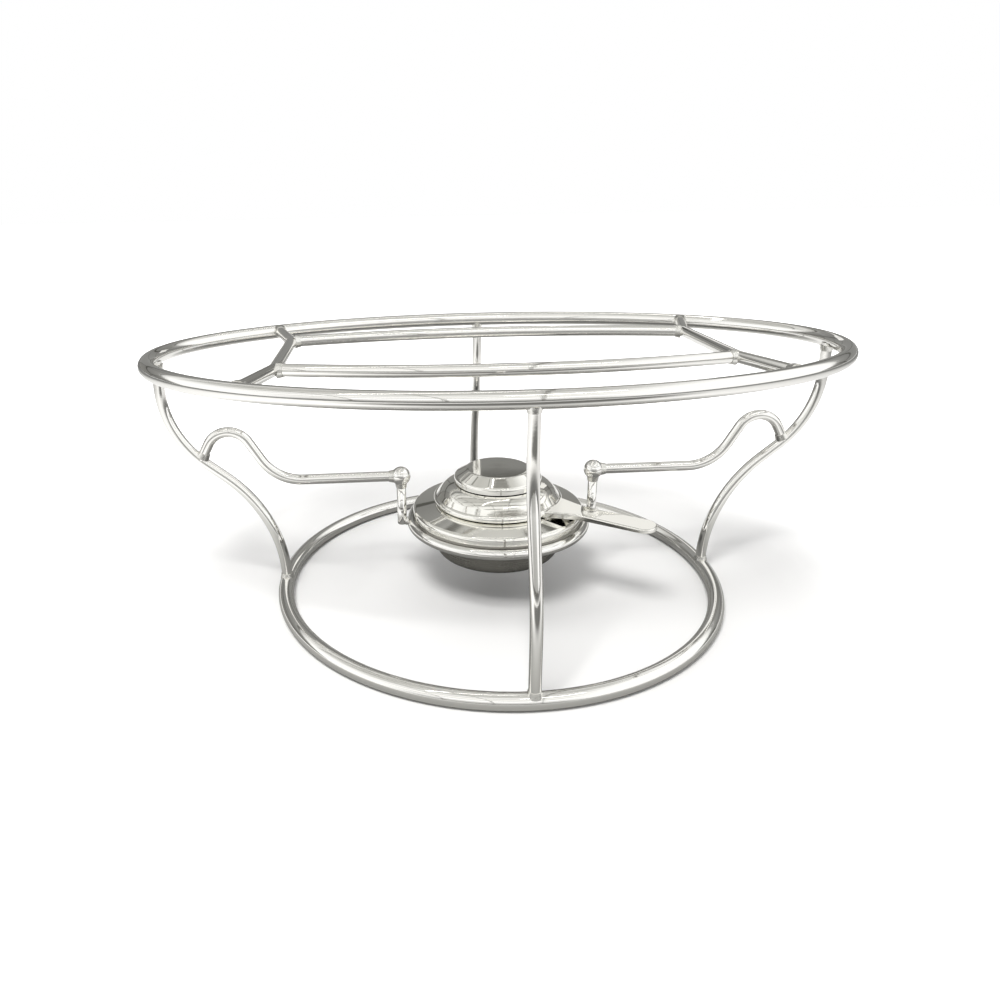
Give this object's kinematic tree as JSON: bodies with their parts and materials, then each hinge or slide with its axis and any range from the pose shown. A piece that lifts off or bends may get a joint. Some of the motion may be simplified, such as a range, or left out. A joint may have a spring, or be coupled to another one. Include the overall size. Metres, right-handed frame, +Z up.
{
  "type": "spirit burner stand",
  "caption": "Oval bright-wire table stand with a carrier ring that holds a round spirit burner with a turning regulator and a lift-off snuffer cap.",
  "frame": {"origin": "on the floor under the burner's axis, at the middle of the base ring", "axes": "+X along the oval's long side, +Y towards the back, +Z up"},
  "size_m": [0.356, 0.24, 0.134],
  "materials": {
    "polished_wire": "bright polished round wire",
    "weld_metal": "polished weld bead with fine ripples",
    "polished_ball": "bright polished solid ball",
    "burner_sheet": "mirror-polished spun and pressed sheet",
    "bowl_sheet": "drawn sheet, satin below the carrier ring",
    "gauze_steel": "plain woven steel wire",
    "absorbent_wool": "packed mineral wool"
  },
  "bodies": {
    "stand": {"top_ring": "polished_wire", "base_ring": "polished_wire", "support_end_right": "polished_wire", "support_end_left": "polished_wire", "support_bar_back": "polished_wire", "support_bar_front": "polished_wire", "leg_right": "polished_wire", "leg_left": "polished_wire", "leg_back": "polished_wire", "leg_front": "polished_wire", "arm_right": "polished_wire", "arm_left": "polished_wire", "ball_right": "polished_ball", "ball_left": "polished_ball", "rod_right": "polished_wire", "rod_left": "polished_wire", "carrier_ring": "polished_wire", "leg_top_welds": "weld_metal", "leg_foot_welds": "weld_metal", "support_end_welds": "weld_metal", "bar_end_welds": "weld_metal", "arm_root_welds": "weld_metal", "ball_welds": "weld_metal", "carrier_welds": "weld_metal"},
    "burner": {"fuel_bowl": "bowl_sheet", "wool_pad": "absorbent_wool", "wire_gauze": "gauze_steel", "gauze_ring": "gauze_steel", "burner_cover": "burner_sheet"},
    "regulator": {"regulator": "burner_sheet"},
    "snuffer_cap": {"snuffer_cap": "burner_sheet"}
  },
  "joints": [
    {"name": "burner_lift", "type": "slide", "parent": "stand", "child": "burner", "axis": [0, 0, 1], "range_m": [0, 0.07]},
    {"name": "regulator_turn", "type": "hinge", "parent": "burner", "child": "regulator", "pos_m": [0, 0, 0.0503], "axis": [0, 0, 1], "range_deg": [-30, 0]},
    {"name": "cap_lift", "type": "slide", "parent": "burner", "child": "snuffer_cap", "axis": [0, 0, 1], "range_m": [0, 0.08]}
  ]
}
